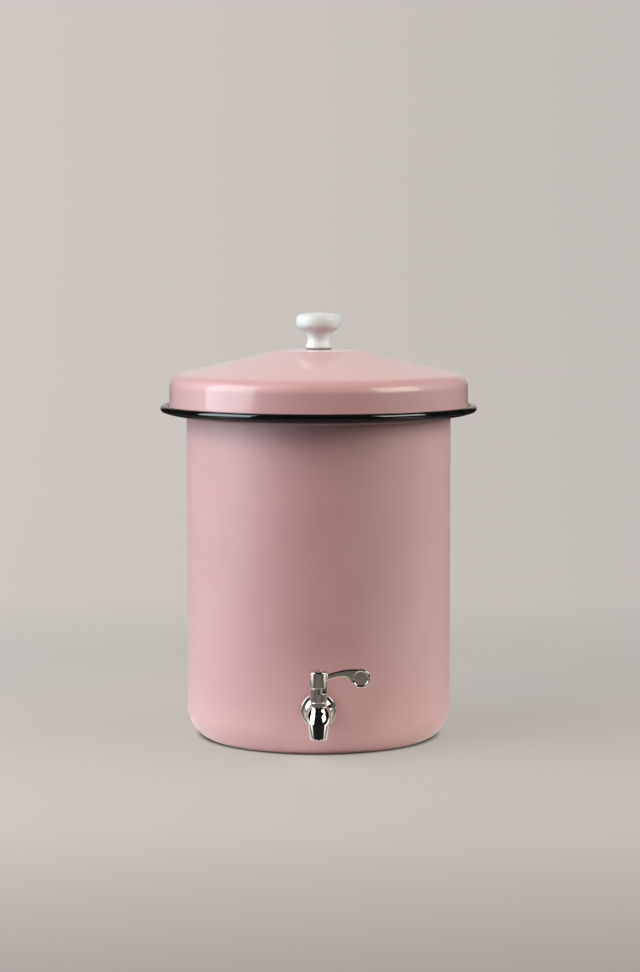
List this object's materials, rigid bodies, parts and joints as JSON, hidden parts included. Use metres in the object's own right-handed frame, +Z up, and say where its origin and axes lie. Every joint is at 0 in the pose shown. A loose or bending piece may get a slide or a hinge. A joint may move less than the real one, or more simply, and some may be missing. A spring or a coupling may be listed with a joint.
{
  "type": "gravity water filter with tap",
  "caption": "Enamelled steel water dispenser with a clay filter pot hung inside, a lift-off lid with a ceramic knob, and a quarter-turn lever tap near the base.",
  "frame": {"origin": "centre of the receptacle's flat base, on the surface it stands on", "axes": "+Z up; the tap faces -Y; +X is the side that the lever points to while the tap is shut"},
  "size_m": [0.3232, 0.3447, 0.4338],
  "materials": {
    "pink_enamel": "satin powder-pink enamel over steel, glossier on the lid",
    "black_enamel": "high-gloss black enamel",
    "fired_clay": "matt unglazed fired clay",
    "white_glaze": "gloss white glaze",
    "polished_steel": "mirror-polished stainless steel",
    "satin_steel": "softly polished stainless steel",
    "plain_steel": "turned stainless steel",
    "insert_brass": "turned brass",
    "black_rubber": "matt black rubber",
    "white_plastic": "matt white low-friction plastic"
  },
  "bodies": {
    "base": {"receptacle": "pink_enamel", "rim_bead": "black_enamel", "tap_body": "polished_steel", "tap_flange": "polished_steel", "outer_gasket": "black_rubber", "inner_gasket": "black_rubber", "inner_washer": "plain_steel", "shank_nut": "plain_steel", "thrust_washer": "white_plastic", "valve_collar": "satin_steel"},
    "pot": {"filter_pot": "fired_clay"},
    "lid": {"lid_shell": "pink_enamel", "lid_knob": "white_glaze", "knob_gasket": "black_rubber", "knob_insert": "insert_brass", "knob_washer": "plain_steel", "knob_screw": "plain_steel"},
    "tap_lever": {"lever": "satin_steel", "lever_screw": "satin_steel", "stop_pin": "plain_steel", "valve_plug": "plain_steel", "upper_ring": "black_rubber", "lower_ring": "black_rubber"}
  },
  "joints": [
    {"name": "pot_lift", "type": "slide", "parent": "base", "child": "pot", "axis": [0, 0, 1], "range_m": [0, 0.23]},
    {"name": "lid_lift", "type": "slide", "parent": "pot", "child": "lid", "axis": [0, 0, 1], "range_m": [0, 0.1]},
    {"name": "lever_turn", "type": "hinge", "parent": "base", "child": "tap_lever", "pos_m": [0, -0.165, 0.0746], "axis": [0, 0, -1], "range_deg": [0, 90]}
  ]
}
